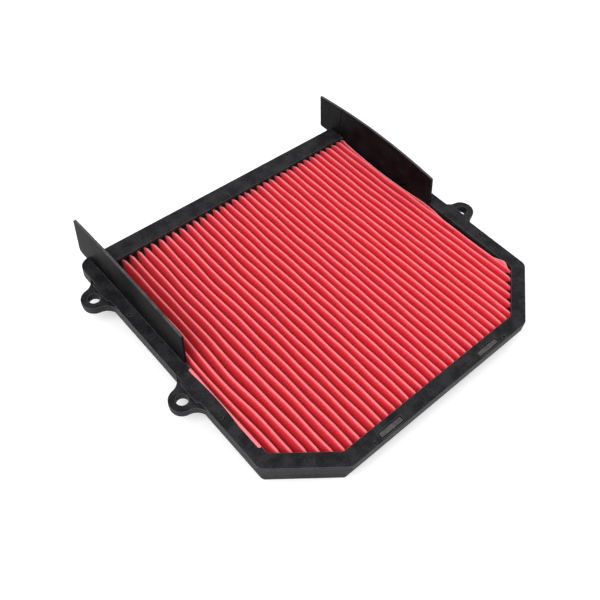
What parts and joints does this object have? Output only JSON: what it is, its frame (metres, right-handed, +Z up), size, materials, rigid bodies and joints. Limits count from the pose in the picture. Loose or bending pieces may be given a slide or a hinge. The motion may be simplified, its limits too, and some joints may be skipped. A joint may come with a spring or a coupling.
{
  "type": "motorcycle panel air filter",
  "caption": "Flat panel air filter with a pleated paper element in a moulded frame, upright guide walls on both sides and drilled fixing ears.",
  "frame": {"origin": "centre of the four ear holes, in the plane of the ears' underside, which is the underside of the frame's flange", "axes": "+X to the filter's right, across the pleats; +Y towards the rear rail, along the pleats; +Z up out of the pleats' dirty side"},
  "size_m": [0.2762, 0.2406, 0.0498],
  "materials": {
    "frame_plastic": "fine-grained injection moulding, slight sheen on its edges",
    "wall_plastic": "smooth dark moulding with faint flow marks",
    "filter_paper": "oiled red filter paper, fibrous and folded",
    "sealant": "cast, matt",
    "glue": "hardened hot-melt glue",
    "screen_metal": "expanded sheet, dull",
    "gasket_foam": "closed-cell foam"
  },
  "bodies": {
    "root": {"upper_frame": "frame_plastic", "lower_frame": "frame_plastic", "left_guide_wall": "wall_plastic", "right_guide_wall": "wall_plastic", "pleated_element": "filter_paper", "rear_end_seal": "sealant", "front_end_seal": "sealant", "left_edge_glue": "sealant", "right_edge_glue": "sealant", "spacer_bead_rear": "glue", "spacer_bead_middle": "glue", "spacer_bead_front": "glue", "support_screen": "screen_metal", "sealing_gasket": "gasket_foam"}
  },
  "joints": []
}
